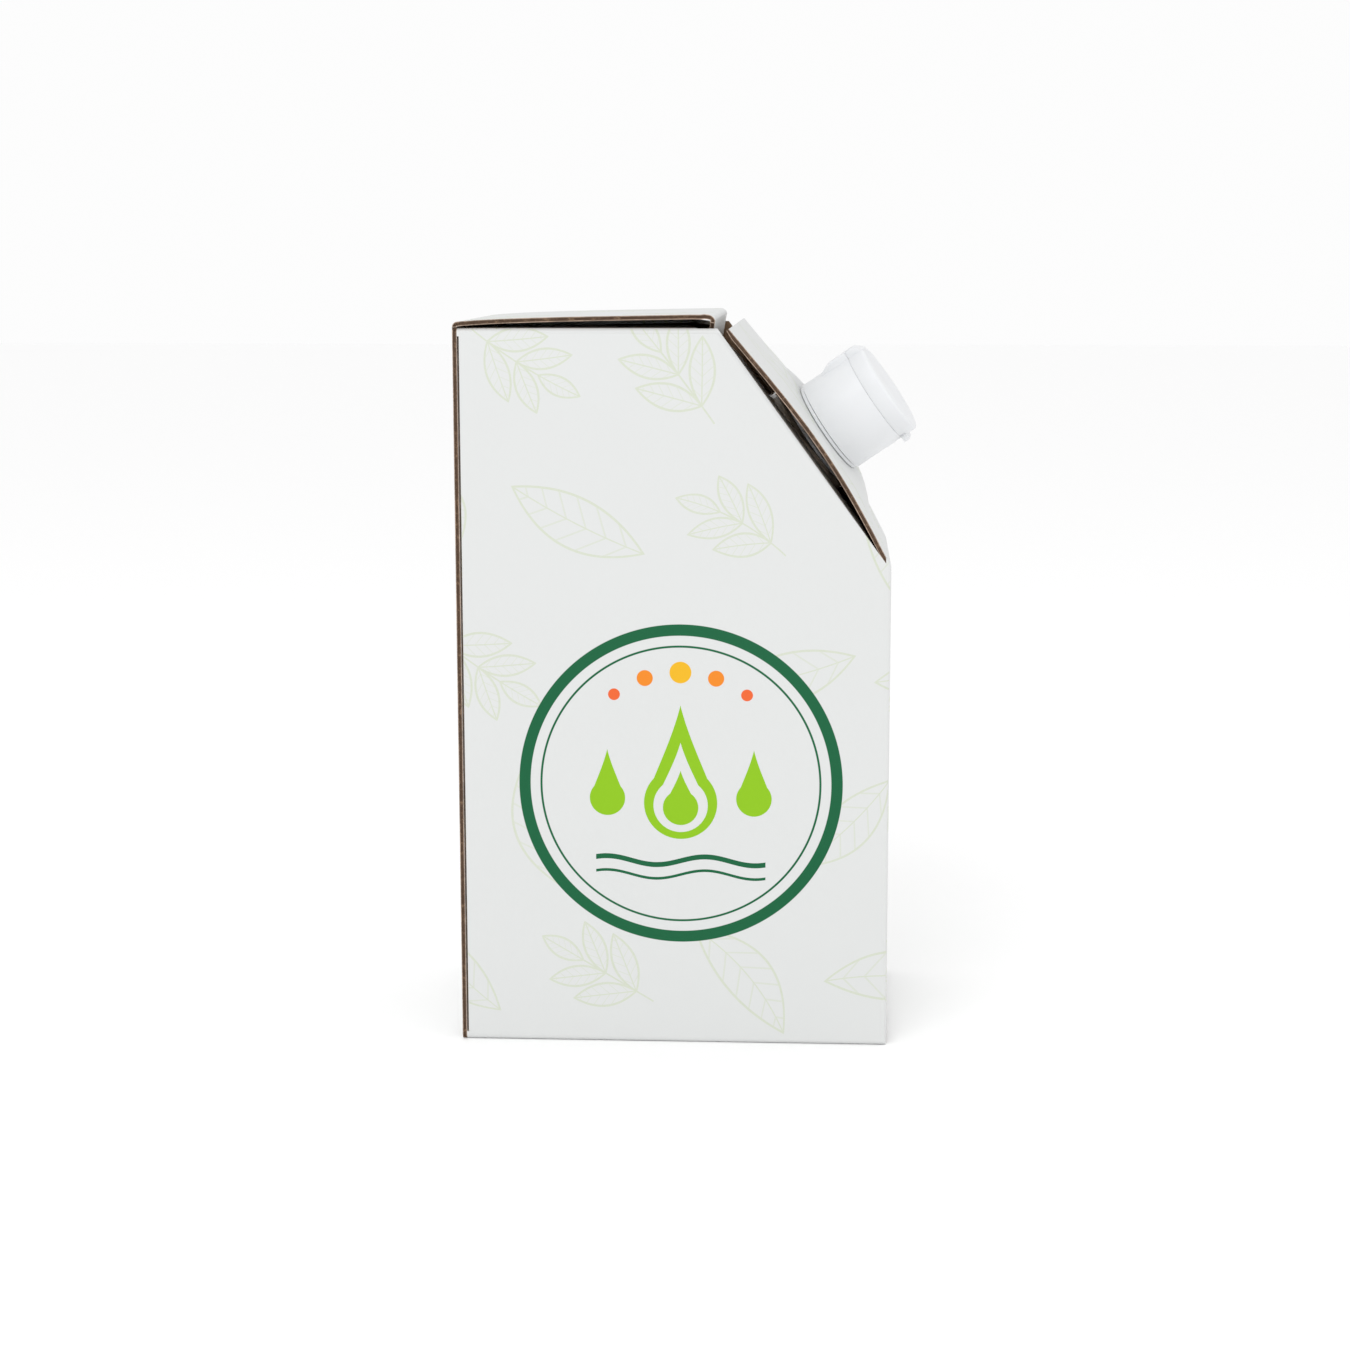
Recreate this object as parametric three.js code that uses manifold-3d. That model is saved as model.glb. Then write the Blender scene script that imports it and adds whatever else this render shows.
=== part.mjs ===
// Disposable beverage carton: one folded sheet of corrugated board round a filled pouch, with a
// top lid hinged at the back and a flip-top screw cap on the slanted panel at the upper front.
// Millimetres, +Z up, +X towards the spout. The origin is the middle of the carton's base.

import * as THREE from "three";
import { mergeVertices } from "three/addons/utils/BufferGeometryUtils.js";
import Module from "manifold-3d";

const wasm = await Module();
wasm.setup();

// Carton
const carton_length = 182; // back face to front face
const carton_width = 115; // side to side
const carton_height = 304.3; // base to the top folds of the sides
const front_height = 204.4; // base to the fold under the slanted panel
const top_length = 109.5; // back face to the corner where the sides turn down the slope
const board = 1.9; // thickness of the corrugated board
const fold_radius = 2.2; // outer radius of a fold in the board
const side_fold_radius = 2.4; // of the long folds at the top and bottom of the sides
const glue_flap_width = 30; // flap glued inside the back panel
const base_flap_length = 56; // inner base flaps, from the front and from the back
const base_flap_gap = 1; // outer base flaps stop this far short of the front and back

// Dust flaps, folded in from the top and slanted edges of the sides
const top_flap_width = 42;
const top_flap_back_gap = 6; // from the back panel to the flap
const top_flap_front_gap = 8; // from the flap to the corner of the side
const slope_flap_width = 27;
const slope_flap_end_gap = 15;
const flap_taper = 7; // how much each end of a dust flap draws in towards its free edge

// Slanted panel: how far its outer face stands off the sides' slanted edges
const panel_end_gap = 3; // from the corner of the side to the panel's free end
const panel_gap_top = 3.6; // at the free end
const panel_gap_fold = 0.6; // at its fold
const panel_fold_inset = 0.9; // its fold starts this far up the slope from the front face
const panel_bow = 4.7; // how far the panel arches between its free end and its fold
const crease_rise = 4.9; // how much more it rises away from the near side, where it is creased
const crease_reach_up = 45; // the crease fades out this far up the slope
const crease_reach_down = 32; // and this far down it
const panel_end_lift = 2.6; // how much the far corner of the free end curls up
const panel_lift_start = 23; // distances from the corner of the side where the curl lets go
const panel_lift_end = 48;
const panel_steps_along = 28;
const panel_steps_across = 20;

// Top lid
const lid_reach = 109; // back face to the front of the lid
const lid_crease_gap = 0.3; // between the lid and the back panel, at the hinge
const lid_rise_back = 2.4; // top of the lid above the sides' top folds, at the back
const lid_rise_front = 5.8; // and at the front, where it rests a little open
const lid_spring = 1.9; // how far the lid springs up just past its crease
const lid_curve_steps = 14;
const tuck_length = 22; // tuck flap at the front of the lid
const tuck_lean = 8.7; // degrees that the tuck flap leans back into the box
const tuck_side_gap = 2; // between the tuck flap and the side panels
const tuck_corner_radius = 12;

// Place and lean of the spout on the slanted panel
const spout_from_corner = 62.8; // down the slope from the corner of the sides
const spout_stand_off = 10.3; // height of the panel there above the sides' slanted edges
const spout_lean_side = 5.5; // degrees towards the near side
const spout_lean_front = 1.5; // degrees down the slope
const flat_radius = 25.5; // the board is flat this far round the spout, where the collars grip it
const flat_blend = 20; // and takes up its own bow again over this distance

// Spout: heights are along its axis, from the outer face of the slanted panel
const bore_radius = 15.3;
const neck_radius = 17.6;
const neck_height = 21.7;
const thread_depth = 1.1;
const thread_width = 1.3;
const thread_pitch = 4.2;
const thread_turns = 1.25;
const thread_top = 4.5; // from the neck's rim down to the start of its thread
const collar_radius = 20.6; // outer collar, over the board
const collar_thickness = 1.5;
const inner_collar_radius = 23; // inner collar, under the board
const weld_radius = 26.8; // flange that the pouch is welded to
const weld_thickness = 1.2;
const weld_gap = 1.3; // between the inner collar and the welded flange
const fit_gap = 0.3; // between pieces that touch

// Cap
const cap_radius = 21.3;
const cap_thread_gap = 0.3; // between the neck's thread and the inside of the skirt
const cap_thread_depth = 1.05;
const deck_thickness = 2;
const pour_radius = 8;
const pour_lip_height = 2;
const pour_lip_wall = 1.3;
const seal_thickness = 1;
const seal_inner_radius = 15.7;
const seal_outer_radius = 18.6;
const lid_height = 7.3; // flip lid
const lid_wall = 1.6;
const lid_edge_radius = 1.4;
const plug_radius = 7.4;
const plug_wall = 1.2;
const plug_depth = 1.6; // below the flip lid's rim
const hinge_width = 14;
const hinge_stand_off = 1.8; // hinge block beyond the skirt
const hinge_drop = 9.5; // hinge block below the parting line
const hinge_root = 1.8; // how far the hinge block reaches into the skirt
const thumb_width = 16;
const thumb_stand_off = 2;
const thumb_thickness = 2.3;
const scoop_radius = 14; // hollow in the skirt under the thumb lip
const scoop_depth = 1.1;

// Pouch
const pouch_gap = 1; // to the side, front and back panels
const pouch_headroom = 19.3; // below the sides' top folds
const pouch_slope_gap = 1.2; // below the slanted dust flaps
const pouch_corner_radius = 18;
const pouch_edge_radius = 13;
const pouch_neck_radius = 26.2;
const pouch_neck_root = 22; // how far the pouch's neck reaches down into its body

const round_segments = 64;

// Worked out from the sizes above
const back_x = -carton_length / 2;
const front_x = carton_length / 2;
const half_width = carton_width / 2;
const corner_x = back_x + top_length;
const degree = Math.PI / 180;

const slope = new THREE.Vector3(front_x - corner_x, 0, front_height - carton_height);
const slope_length = slope.length();
const down_slope = slope.clone().normalize();
const slope_normal = new THREE.Vector3(-down_slope.z, 0, down_slope.x);
const slope_corner = new THREE.Vector3(corner_x, 0, carton_height);

// A point given by its distance down the slope, its height over it and its place across.
function slopePoint(along, over, across) {
  return slope_corner
    .clone()
    .addScaledVector(down_slope, along)
    .addScaledVector(slope_normal, over)
    .setY(across);
}

const spout_centre = slopePoint(spout_from_corner, spout_stand_off, 0);
const spout_axis = slope_normal
  .clone()
  .addScaledVector(down_slope, Math.tan(spout_lean_front * degree))
  .add(new THREE.Vector3(0, -Math.tan(spout_lean_side * degree), 0))
  .normalize();

// The spout's own frame: Z out along its axis, X up the slope, towards the cap's hinge.
const spout_up_slope = down_slope.clone().negate().projectOnPlane(spout_axis).normalize();
const spout_across = new THREE.Vector3().crossVectors(spout_axis, spout_up_slope);
const spout_matrix = new THREE.Matrix4()
  .makeBasis(spout_up_slope, spout_across, spout_axis)
  .setPosition(spout_centre);

// Solids
function toManifold(geometry) {
  const bare = geometry.clone();
  bare.deleteAttribute("normal");
  bare.deleteAttribute("uv");
  const merged = mergeVertices(bare, 1e-4);
  return new wasm.Manifold(
    new wasm.Mesh({
      numProp: 3,
      vertProperties: new Float32Array(merged.attributes.position.array),
      triVerts: new Uint32Array(merged.index.array),
    }),
  );
}

function toGeometry(solid) {
  const mesh = solid.getMesh();
  const geometry = new THREE.BufferGeometry();
  geometry.setAttribute("position", new THREE.BufferAttribute(new Float32Array(mesh.vertProperties), 3));
  geometry.setIndex(new THREE.BufferAttribute(new Uint32Array(mesh.triVerts), 1));
  const faceted = geometry.toNonIndexed();
  faceted.computeVertexNormals();
  return faceted;
}

const joined = (...geometries) =>
  toGeometry(geometries.map(toManifold).reduce((whole, piece) => whole.add(piece)));
const cut = (geometry, ...cutters) =>
  toGeometry(cutters.map(toManifold).reduce((rest, cutter) => rest.subtract(cutter), toManifold(geometry)));
const shared = (geometry, other) => toGeometry(toManifold(geometry).intersect(toManifold(other)));

// An outline of [x, y] points, extruded up from z = low to z = high.
function extrudedUp(points, low, high) {
  const outline = new THREE.Shape(points.map(([x, y]) => new THREE.Vector2(x, y)));
  return new THREE.ExtrudeGeometry(outline, { depth: high - low, bevelEnabled: false }).translate(0, 0, low);
}

// An outline of [x, z] points, extruded along Y.
function extrudedAcross(points, low, high) {
  return extrudedUp(points, -high, -low).rotateX(Math.PI / 2);
}

// An outline of [y, z] points, extruded along X.
function extrudedForward(points, low, high) {
  return extrudedUp(points, low, high).applyMatrix4(
    new THREE.Matrix4().makeBasis(
      new THREE.Vector3(0, 1, 0),
      new THREE.Vector3(0, 0, 1),
      new THREE.Vector3(1, 0, 0),
    ),
  );
}

// A box between two corners.
function boxBetween([x0, y0, z0], [x1, y1, z1]) {
  return new THREE.BoxGeometry(x1 - x0, y1 - y0, z1 - z0).translate((x0 + x1) / 2, (y0 + y1) / 2, (z0 + z1) / 2);
}

// Rounds the corners of an open or closed run of [x, y] points that turns more than 15 degrees.
function rounded(points, radius, closed = false) {
  const path = [];
  const count = points.length;
  points.forEach((point, i) => {
    const corner = new THREE.Vector2(...point);
    if (!closed && (i === 0 || i === count - 1)) {
      path.push(corner);
      return;
    }
    const before = new THREE.Vector2(...points[(i + count - 1) % count]).sub(corner).normalize();
    const after = new THREE.Vector2(...points[(i + 1) % count]).sub(corner).normalize();
    const turn = Math.PI - Math.acos(THREE.MathUtils.clamp(before.dot(after), -1, 1));
    if (turn < 15 * degree) {
      path.push(corner);
      return;
    }
    const reach = radius * Math.tan(turn / 2);
    const start = corner.clone().addScaledVector(before, reach);
    const end = corner.clone().addScaledVector(after, reach);
    const toCentre = before.clone().add(after).normalize();
    const centre = corner.clone().addScaledVector(toCentre, radius / Math.cos(turn / 2));
    const first = start.clone().sub(centre).angle();
    let sweep = end.clone().sub(centre).angle() - first;
    if (sweep > Math.PI) sweep -= 2 * Math.PI;
    if (sweep < -Math.PI) sweep += 2 * Math.PI;
    const steps = Math.max(3, Math.ceil(turn / (18 * degree)));
    for (let step = 0; step <= steps; step++) {
      const angle = first + (sweep * step) / steps;
      path.push(new THREE.Vector2(Math.cos(angle), Math.sin(angle)).multiplyScalar(radius).add(centre));
    }
  });
  return path.map((point) => [point.x, point.y]);
}

// The section of a folded sheet: the given points are its outer face, and its thickness lies to
// the left of the way they run. Folds are round outside and pressed to a crease inside.
function foldedSheet(points, thickness, radius) {
  const corners = points.map(([x, y]) => new THREE.Vector2(x, y));
  const leftOf = (from, to) => new THREE.Vector2(from.y - to.y, to.x - from.x).normalize();
  const inner = corners.map((point, i) => {
    const ahead = i < corners.length - 1 ? leftOf(point, corners[i + 1]) : leftOf(corners[i - 1], point);
    const back = i > 0 ? leftOf(corners[i - 1], point) : ahead;
    const middle = back.clone().add(ahead).normalize();
    return point.clone().addScaledVector(middle, thickness / middle.dot(ahead));
  });
  return [...rounded(points, radius), ...inner.reverse().map((point) => [point.x, point.y])];
}

// A closed ring of [radius, height] points turned round the Z axis.
function turned(points) {
  const profile = points.map(([radius, height]) => new THREE.Vector2(radius, height));
  return new THREE.LatheGeometry(profile, round_segments).rotateX(Math.PI / 2);
}

// A screw thread of trapezoidal section that climbs anticlockwise round the Z axis.
function helicalRidge(root_radius, crest_radius, width, start_height, turns) {
  const steps = Math.ceil(turns * round_segments);
  const half_root = width / 2;
  const half_crest = width / 4;
  const section = [
    [root_radius, -half_root],
    [crest_radius, -half_crest],
    [crest_radius, half_crest],
    [root_radius, half_root],
  ];
  const positions = [];
  for (let step = 0; step <= steps; step++) {
    const angle = (step / steps) * turns * 2 * Math.PI;
    const rise = start_height + (angle / (2 * Math.PI)) * thread_pitch;
    for (const [radius, height] of section)
      positions.push(radius * Math.cos(angle), radius * Math.sin(angle), rise + height);
  }
  const faces = [0, 2, 1, 0, 3, 2];
  for (let step = 0; step < steps; step++) {
    for (let side = 0; side < 4; side++) {
      const a = step * 4 + side;
      const b = step * 4 + ((side + 1) % 4);
      faces.push(a, b, b + 4, a, b + 4, a + 4);
    }
  }
  const last = steps * 4;
  faces.push(last, last + 1, last + 2, last, last + 2, last + 3);
  const inward = crest_radius < root_radius;
  if (inward) for (let i = 0; i < faces.length; i += 3) [faces[i], faces[i + 1]] = [faces[i + 1], faces[i]];
  const geometry = new THREE.BufferGeometry();
  geometry.setAttribute("position", new THREE.Float32BufferAttribute(positions, 3));
  geometry.setIndex(faces);
  return geometry;
}

// Height of the slanted panel's outer face over the sides' slanted edges.
function panelHeight(along, across) {
  const down = along / slope_length;
  const straight = THREE.MathUtils.lerp(panel_gap_top, panel_gap_fold, down);
  const near_edge = straight + panel_bow * Math.sin(Math.PI * Math.pow(Math.min(1, down), 1.12));
  const crease_reach = along < spout_from_corner ? crease_reach_up : crease_reach_down;
  const from_crease = Math.min(1, Math.abs(along - spout_from_corner) / crease_reach);
  const from_far = (half_width - across) / carton_width;
  const far_share = 1 - Math.max(0, from_far) ** 2.5;
  const crease = crease_rise * Math.cos((from_crease * Math.PI) / 2) ** 2;
  const curl = panel_end_lift * (1 - THREE.MathUtils.smoothstep(along, panel_lift_start, panel_lift_end));
  const bowed = near_edge + (crease + curl) * far_share;
  const flat =
    spout_stand_off -
    (along - spout_from_corner) * Math.tan(spout_lean_front * degree) +
    across * Math.tan(spout_lean_side * degree);
  const from_spout = Math.hypot(along - spout_from_corner, across);
  return THREE.MathUtils.lerp(flat, bowed, THREE.MathUtils.smoothstep(from_spout, flat_radius, flat_radius + flat_blend));
}

// The slanted panel, from its free end down to its fold.
function slantedPanel() {
  const columns = panel_steps_across + 1;
  const positions = [];
  for (const depth of [0, board]) {
    for (let i = 0; i <= panel_steps_along; i++) {
      const along = THREE.MathUtils.lerp(panel_end_gap, slope_length - panel_fold_inset, i / panel_steps_along);
      for (let j = 0; j < columns; j++) {
        const across = THREE.MathUtils.lerp(-half_width, half_width, j / panel_steps_across);
        positions.push(...slopePoint(along, panelHeight(along, across) - depth, across));
      }
    }
  }
  const under = (panel_steps_along + 1) * columns;
  const faces = [];
  const quad = (a, b, c, d) => faces.push(a, b, c, a, c, d);
  for (let i = 0; i < panel_steps_along; i++) {
    for (let j = 0; j < panel_steps_across; j++) {
      const a = i * columns + j;
      quad(a, a + columns, a + columns + 1, a + 1);
      quad(under + a, under + a + 1, under + a + columns + 1, under + a + columns);
    }
  }
  for (let i = 0; i < panel_steps_along; i++) {
    const near = i * columns;
    const far = near + panel_steps_across;
    quad(near, under + near, under + near + columns, near + columns);
    quad(far, far + columns, under + far + columns, under + far);
  }
  for (let j = 0; j < panel_steps_across; j++) {
    const low = panel_steps_along * columns + j;
    quad(j, j + 1, under + j + 1, under + j);
    quad(low, under + low, under + low + 1, low + 1);
  }
  const geometry = new THREE.BufferGeometry();
  geometry.setAttribute("position", new THREE.Float32BufferAttribute(positions, 3));
  geometry.setIndex(faces);
  return geometry;
}

// The carton seen from above, with round folds at three corners. At the fourth, the back panel
// ends in a raw edge over the glue flap of the near side.
function planOutline() {
  const corners = [
    [front_x, -half_width],
    [front_x, half_width],
    [back_x, half_width],
  ];
  const turn_in = [front_x - carton_length / 2, -half_width];
  const turn_out = [back_x, 0];
  const folded = rounded([turn_in, ...corners, turn_out], fold_radius);
  return extrudedUp([...folded, [back_x, -half_width]], -1, 2 * carton_height);
}

// The carton as a block, with round long folds at the top and bottom of the sides.
function sideBlock() {
  const outline = [
    [back_x, 0],
    [front_x, 0],
    [front_x, front_height],
    [corner_x, carton_height],
    [back_x, carton_height],
  ];
  const section = [
    [-half_width, 0],
    [half_width, 0],
    [half_width, carton_height],
    [-half_width, carton_height],
  ];
  const folds = extrudedForward(rounded(section, side_fold_radius, true), back_x - 1, front_x + 1);
  return shared(extrudedAcross(outline, -carton_width, carton_width), folds);
}

// The room inside the board: the floor steps up on the inner base flaps, and the glue flap
// takes its share of the back.
function cavity() {
  const floor_end = carton_length / 2 - base_flap_length;
  const ceiling = carton_height - board;
  const top = (board * (slope_normal.z - 1)) / down_slope.z;
  const ridge = slopePoint(top, -board, 0);
  const low = slopePoint(slope_length * 1.2, -board, 0);
  const profile = [
    [back_x - board, 2 * board],
    [-floor_end, 2 * board],
    [-floor_end, board],
    [floor_end, board],
    [floor_end, 2 * board],
    [low.x, 2 * board],
    [low.x, low.z],
    [ridge.x, ceiling],
    [back_x - board, ceiling],
  ];
  const side = half_width - board;
  const flap_edge = -half_width + glue_flap_width;
  const plan = [
    [back_x + 2 * board, -side],
    [front_x - board, -side],
    [front_x - board, side],
    [back_x + board, side],
    [back_x + board, flap_edge],
    [back_x + 2 * board, flap_edge],
  ];
  return shared(extrudedAcross(profile, -carton_width, carton_width), extrudedUp(plan, 0, 2 * carton_height));
}

// Takes away the foot of the front or back wall, up to the rounded fold of its inner base flap.
function footSpace(outer_x, inward) {
  const beside = outer_x - inward;
  const flap_end = outer_x + inward * (board + base_flap_gap);
  const fold_top = board + fold_radius;
  const arc = [];
  for (let step = 0; step <= 5; step++) {
    const angle = (step / 5) * 90 * degree;
    const reach = fold_radius * (1 - Math.cos(angle));
    arc.push([outer_x + inward * reach, fold_top - fold_radius * Math.sin(angle)]);
  }
  const outline = [[beside, -1], [beside, fold_top], ...arc, [flap_end, board], [flap_end, -1]];
  const half = half_width - 2 * board;
  return extrudedAcross(inward < 0 ? outline : outline.reverse(), -half, half);
}

// What is left open between a pair of dust flaps, as [along, across] points: first and last are
// the ends of the opening, flap_first and flap_last the ends of the flaps.
function openingOutline(first, flap_first, flap_last, last, flap_width) {
  const side = half_width - board;
  const tip = half_width - flap_width;
  const near = [
    [first, -side],
    [flap_first, -side],
    [flap_first + flap_taper, -tip],
    [flap_last - flap_taper, -tip],
    [flap_last, -side],
    [last, -side],
  ];
  const far = near.map(([along, across]) => [along, -across]).reverse();
  return [...near, ...far];
}

function topOpening() {
  const flap_back = back_x + top_flap_back_gap;
  const flap_front = corner_x - top_flap_front_gap;
  const outline = openingOutline(back_x + 2 * board, flap_back, flap_front, corner_x, top_flap_width);
  return extrudedUp(outline, carton_height - 2 * board, carton_height + board);
}

function slopeOpening() {
  const flap_low = slope_length - slope_flap_end_gap;
  const outline = openingOutline(
    -2 * board,
    slope_flap_end_gap / 2,
    flap_low,
    slope_length - 1.5 * board,
    slope_flap_width,
  );
  const upright = new THREE.Vector3().crossVectors(slope_normal, down_slope);
  const frame = new THREE.Matrix4().makeBasis(down_slope, upright, slope_normal).setPosition(slope_corner);
  return extrudedUp(outline, -2 * board, board / 2).applyMatrix4(frame);
}

// The dark line between the back panel's raw edge and the fold of the near side.
function seamGroove() {
  const seam = back_x + board;
  const outline = [
    [seam, -half_width - 1],
    [seam + 0.6 * fold_radius, -half_width - 1],
    [seam + 0.3 * fold_radius, -half_width + 0.25 * fold_radius],
    [seam, -half_width + 0.7 * fold_radius],
  ];
  return extrudedUp(outline, side_fold_radius + 1, carton_height - side_fold_radius - 1);
}

function cartonBody() {
  const shell = cut(sideBlock(), cavity(), topOpening(), slopeOpening());
  const folded = shared(joined(shell, slantedPanel()), planOutline());
  const hole = new THREE.CylinderGeometry(neck_radius + fit_gap, neck_radius + fit_gap, 3 * board, round_segments)
    .rotateX(Math.PI / 2)
    .translate(0, 0, -board / 2)
    .applyMatrix4(spout_matrix);
  return cut(folded, footSpace(front_x, -1), footSpace(back_x, 1), seamGroove(), hole);
}

// Top of the lid, from its hinge to its front edge.
function lidCurve() {
  const back = new THREE.Vector2(back_x, carton_height + lid_rise_back);
  const front = new THREE.Vector2(back_x + lid_reach, carton_height + lid_rise_front);
  const third = lid_reach / 3;
  const spring = new THREE.Vector2(back_x + third / 2, back.y + lid_spring);
  const settle = new THREE.Vector2(front.x - 1.5 * third, front.y - lid_spring / 2);
  return new THREE.CubicBezierCurve(back, spring, settle, front).getPoints(lid_curve_steps);
}

function topLid() {
  const curve = lidCurve().map((point) => [point.x, point.y]);
  const [front_edge_x, front_edge_z] = curve[curve.length - 1];
  const lean = tuck_lean * degree;
  const shoulder = 1.5 * fold_radius;
  const outer = [
    [front_edge_x - shoulder * Math.sin(lean), front_edge_z - shoulder * Math.cos(lean)],
    ...curve.reverse(),
    [back_x, carton_height + lid_crease_gap],
  ];
  const top = extrudedAcross(foldedSheet(outer, board, fold_radius), -half_width, half_width);
  const half_tuck = half_width - board - tuck_side_gap;
  const tuck_outline = [
    [-half_tuck, 0],
    [-half_tuck, -tuck_length],
    [half_tuck, -tuck_length],
    [half_tuck, 0],
  ];
  const tuck_root = fold_radius;
  const tuck = extrudedForward(rounded(tuck_outline, tuck_corner_radius), -board, 0)
    .translate(0, 0, -tuck_root)
    .rotateY(lean)
    .translate(front_edge_x, 0, front_edge_z);
  return joined(top, tuck);
}

// The pouch fills the box under the flaps and rises to the spout's welded flange.
function innerBag() {
  const low = 2 * board + fit_gap;
  const high = carton_height - pouch_headroom;
  const back = back_x + 2 * board + pouch_gap;
  const front = front_x - board - pouch_gap;
  const under = slopePoint(0, -board - pouch_slope_gap, 0);
  const on_slope_x = under.x + ((under.z - high) / -down_slope.z) * down_slope.x;
  const front_z = under.z + ((front - under.x) / down_slope.x) * down_slope.z;
  const inset = pouch_edge_radius;
  const outline = [
    [back + inset, low + inset],
    [front - inset, low + inset],
    [front - inset, front_z - inset / 2],
    [on_slope_x - inset / 2, high - inset],
    [back + inset, high - inset],
  ];
  const shape = new THREE.Shape(
    rounded(outline, pouch_corner_radius - inset, true).map(([x, z]) => new THREE.Vector2(x, z)),
  );
  const half = half_width - board - pouch_gap;
  const body = new THREE.ExtrudeGeometry(shape, {
    depth: 2 * (half - inset),
    bevelEnabled: true,
    bevelSize: inset,
    bevelThickness: inset,
    bevelSegments: 6,
  })
    .rotateX(Math.PI / 2)
    .translate(0, half - inset, 0);
  const neck_top = spoutBase() - fit_gap;
  const neck = turned([
    [0, neck_top - pouch_neck_root],
    [pouch_neck_radius, neck_top - pouch_neck_root],
    [pouch_neck_radius, neck_top],
    [0, neck_top],
  ]).applyMatrix4(spout_matrix);
  return joined(body, neck);
}

// Height of the spout's lowest face, under the welded flange.
function spoutBase() {
  return -board - fit_gap - collar_thickness - weld_gap - weld_thickness;
}

function spoutSolid() {
  const base = spoutBase();
  const weld_top = base + weld_thickness;
  const inner_top = -board - fit_gap;
  const inner_low = inner_top - collar_thickness;
  const body = turned([
    [bore_radius, base],
    [weld_radius, base],
    [weld_radius, weld_top],
    [neck_radius, weld_top],
    [neck_radius, inner_low],
    [inner_collar_radius, inner_low],
    [inner_collar_radius, inner_top],
    [neck_radius, inner_top],
    [neck_radius, fit_gap],
    [collar_radius, fit_gap],
    [collar_radius, fit_gap + collar_thickness],
    [neck_radius, fit_gap + collar_thickness],
    [neck_radius, neck_height],
    [bore_radius, neck_height],
    [bore_radius, base],
  ]);
  const start = neck_height - thread_top - thread_turns * thread_pitch;
  const crest = neck_radius + thread_depth;
  return joined(body, helicalRidge(neck_radius - 0.2, crest, thread_width, start, thread_turns));
}

const seal_low = neck_height + fit_gap;
const deck_low = seal_low + seal_thickness + fit_gap;
const deck_top = deck_low + deck_thickness;
const rim_low = deck_top + fit_gap; // rim of the closed flip lid

function capSeal() {
  return turned([
    [seal_inner_radius, seal_low],
    [seal_outer_radius, seal_low],
    [seal_outer_radius, seal_low + seal_thickness],
    [seal_inner_radius, seal_low + seal_thickness],
    [seal_inner_radius, seal_low],
  ]);
}

// The block that carries the flip lid's hinge, as an outline of [x, z] points.
function hingeBlock(points) {
  return extrudedAcross(points, -hinge_width / 2, hinge_width / 2);
}

function screwCap() {
  const skirt_low = fit_gap + collar_thickness + fit_gap;
  const inner = neck_radius + thread_depth + cap_thread_gap;
  const pour_outer = pour_radius + pour_lip_wall;
  const body = turned([
    [inner, skirt_low],
    [cap_radius, skirt_low],
    [cap_radius, deck_top],
    [pour_outer, deck_top],
    [pour_outer, deck_top + pour_lip_height],
    [pour_radius, deck_top + pour_lip_height],
    [pour_radius, deck_low],
    [inner, deck_low],
    [inner, skirt_low],
  ]);
  const start = neck_height - thread_top - thread_turns * thread_pitch - thread_pitch / 2;
  const thread = helicalRidge(inner + 0.2, inner - cap_thread_depth, thread_width, start, thread_turns);
  const block_x = cap_radius + hinge_stand_off;
  const block = hingeBlock([
    [cap_radius - hinge_root, deck_top - hinge_drop - 2 * hinge_stand_off],
    [cap_radius, deck_top - hinge_drop - 2 * hinge_stand_off],
    [block_x, deck_top - hinge_drop],
    [block_x, deck_top],
    [cap_radius - hinge_root, deck_top],
  ]);
  const scoop = new THREE.SphereGeometry(scoop_radius, 32, 16).translate(
    -cap_radius - scoop_radius + scoop_depth,
    0,
    deck_top,
  );
  return cut(joined(body, thread, block), scoop);
}

function flipLid() {
  const top = rim_low + lid_height;
  const inside = top - lid_wall;
  const edge = [];
  for (let step = 0; step <= 4; step++) {
    const angle = (step / 4) * 90 * degree;
    const centre_r = cap_radius - lid_edge_radius;
    const centre_z = top - lid_edge_radius;
    edge.push([centre_r + lid_edge_radius * Math.cos(angle), centre_z + lid_edge_radius * Math.sin(angle)]);
  }
  const body = turned([
    [0, inside],
    [plug_radius - plug_wall, inside],
    [plug_radius - plug_wall, rim_low - plug_depth],
    [plug_radius, rim_low - plug_depth],
    [plug_radius, inside],
    [cap_radius - lid_wall, inside],
    [cap_radius - lid_wall, rim_low],
    [cap_radius, rim_low],
    ...edge,
    [0, top],
  ]);
  const block_x = cap_radius + hinge_stand_off;
  const block = hingeBlock([
    [cap_radius - lid_wall, rim_low],
    [block_x, rim_low],
    [block_x, top - 2 * hinge_stand_off],
    [cap_radius - lid_edge_radius, top],
    [cap_radius - lid_wall, top],
  ]);
  const thumb_x = -cap_radius - thumb_stand_off;
  const thumb = extrudedUp(
    rounded(
      [
        [thumb_x, -thumb_width / 2],
        [-cap_radius + lid_wall, -thumb_width / 2],
        [-cap_radius + lid_wall, thumb_width / 2],
        [thumb_x, thumb_width / 2],
      ],
      lid_edge_radius,
      true,
    ),
    rim_low,
    rim_low + thumb_thickness,
  );
  const hollow = new THREE.CylinderGeometry(
    cap_radius - lid_wall - 0.05,
    cap_radius - lid_wall - 0.05,
    inside - rim_low,
    round_segments,
  )
    .rotateX(Math.PI / 2)
    .translate(0, 0, (inside + rim_low) / 2);
  const blocks = cut(joined(block), hollow);
  return joined(body, blocks, cut(thumb, hollow));
}

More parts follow.
